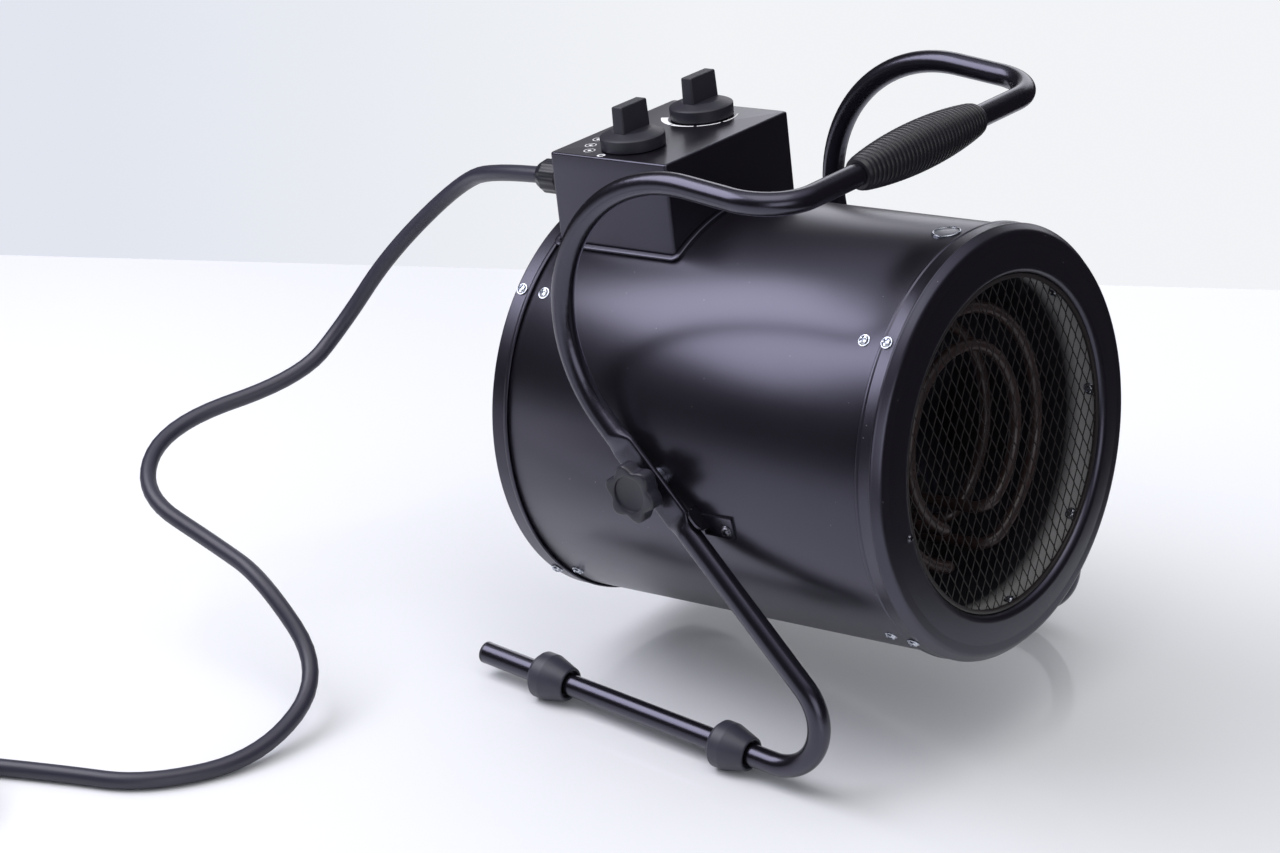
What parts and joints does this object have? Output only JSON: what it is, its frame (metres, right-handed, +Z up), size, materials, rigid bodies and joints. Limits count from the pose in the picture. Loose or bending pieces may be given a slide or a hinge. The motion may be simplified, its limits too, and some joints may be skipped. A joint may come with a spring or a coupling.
{
  "type": "drum fan heater",
  "caption": "Black drum-shaped fan heater that tilts in a bent tube stand with a carrying handle; tubular elements, control box with two dials, and a rubber mains cable with a plug.",
  "frame": {"origin": "on the floor under the middle of the box around the heater and its stand, cable and plug left out", "axes": "+X towards the air outlet, +Y to the right-hand side of someone looking out of the outlet from behind, +Z up"},
  "size_m": [0.7796, 0.8188, 0.4351],
  "materials": {
    "case_paint": "satin black powder coat",
    "knob_plastic": "fine-grained black plastic",
    "rubber": "matt black rubber",
    "gland_plastic": "black nylon",
    "zinc_steel": "zinc-plated",
    "bright_steel": "bright rolled sheet",
    "dark_wire": "black coat on steel",
    "element_sheath": "drawn tube with heat tint",
    "motor_steel": "dark paint",
    "fan_aluminium": "pressed sheet",
    "pale_plastic": "plain moulding",
    "copper": "drawn tube",
    "plug_grey": "moulded shell",
    "plug_red": "moulded collar"
  },
  "bodies": {
    "stand": {"left_stand_tube": "case_paint", "right_stand_tube": "case_paint", "handle_grip": "rubber", "left_rear_foot": "rubber", "right_rear_foot": "rubber", "left_front_foot": "rubber", "right_front_foot": "rubber", "left_tube_cap": "knob_plastic", "right_tube_cap": "knob_plastic", "cord_lower": "rubber", "cord_coil": "rubber", "cord_tail": "rubber", "plug_nut": "plug_grey", "plug_body": "plug_grey", "plug_shroud": "plug_red", "plug_pins": "copper"},
    "heater": {"box_trim": "case_paint", "capillary_tube": "copper", "case_screws": "zinc_steel", "control_box": "case_paint", "cord_gland": "gland_plastic", "cord_upper": "rubber", "element_plate": "bright_steel", "front_collar": "case_paint", "front_grille": "dark_wire", "gland_locknut": "gland_plastic", "gland_nut": "gland_plastic", "inner_element": "element_sheath", "inner_liner": "bright_steel", "left_pivot_nut": "zinc_steel", "left_stop_lug": "case_paint", "liner_brackets": "bright_steel", "liner_screws": "zinc_steel", "lug_screws": "zinc_steel", "motor": "motor_steel", "motor_bracket": "case_paint", "outer_case": "case_paint", "outer_element": "element_sheath", "rear_collar": "case_paint", "rear_element": "element_sheath", "rear_guard": "dark_wire", "right_pivot_nut": "zinc_steel", "right_stop_lug": "case_paint", "rotary_switch": "knob_plastic", "round_badge": "pale_plastic", "safety_cutout": "pale_plastic", "terminal_block": "pale_plastic", "thermostat": "pale_plastic", "thermostat_bulb": "copper"},
    "fan": {"fan_wheel": "fan_aluminium", "motor_shaft": "zinc_steel"},
    "switch_dial": {"switch_knob": "knob_plastic", "switch_spindle": "zinc_steel"},
    "thermostat_dial": {"thermostat_knob": "knob_plastic", "thermostat_spindle": "zinc_steel"},
    "left_clamp": {"left_star_knob": "knob_plastic", "left_knob_stud": "zinc_steel"},
    "right_clamp": {"right_star_knob": "knob_plastic", "right_knob_stud": "zinc_steel"}
  },
  "joints": [
    {"name": "tilt", "type": "hinge", "parent": "stand", "child": "heater", "pos_m": [-0.00981, 0, 0.1971], "axis": [0, -1, 0], "range_deg": [0, 13]},
    {"name": "fan_spin", "type": "hinge", "parent": "heater", "child": "fan", "pos_m": [-0.00981, 0, 0.1971], "axis": [0.9912, 0, 0.1323], "continuous": true},
    {"name": "switch_turn", "type": "hinge", "parent": "heater", "child": "switch_dial", "pos_m": [-0.11764, -0.039, 0.38146], "axis": [-0.1323, 0, 0.9912], "range_deg": [-135, 0]},
    {"name": "thermostat_turn", "type": "hinge", "parent": "heater", "child": "thermostat_dial", "pos_m": [-0.11764, 0.039, 0.38146], "axis": [-0.1323, 0, 0.9912], "range_deg": [-270, 0]},
    {"name": "left_clamp_turn", "type": "hinge", "parent": "heater", "child": "left_clamp", "pos_m": [-0.00981, -0.16, 0.1971], "axis": [0, -1, 0], "range_deg": [0, 180]},
    {"name": "right_clamp_turn", "type": "hinge", "parent": "heater", "child": "right_clamp", "pos_m": [-0.00981, 0.16, 0.1971], "axis": [0, 1, 0], "range_deg": [0, 180]}
  ]
}
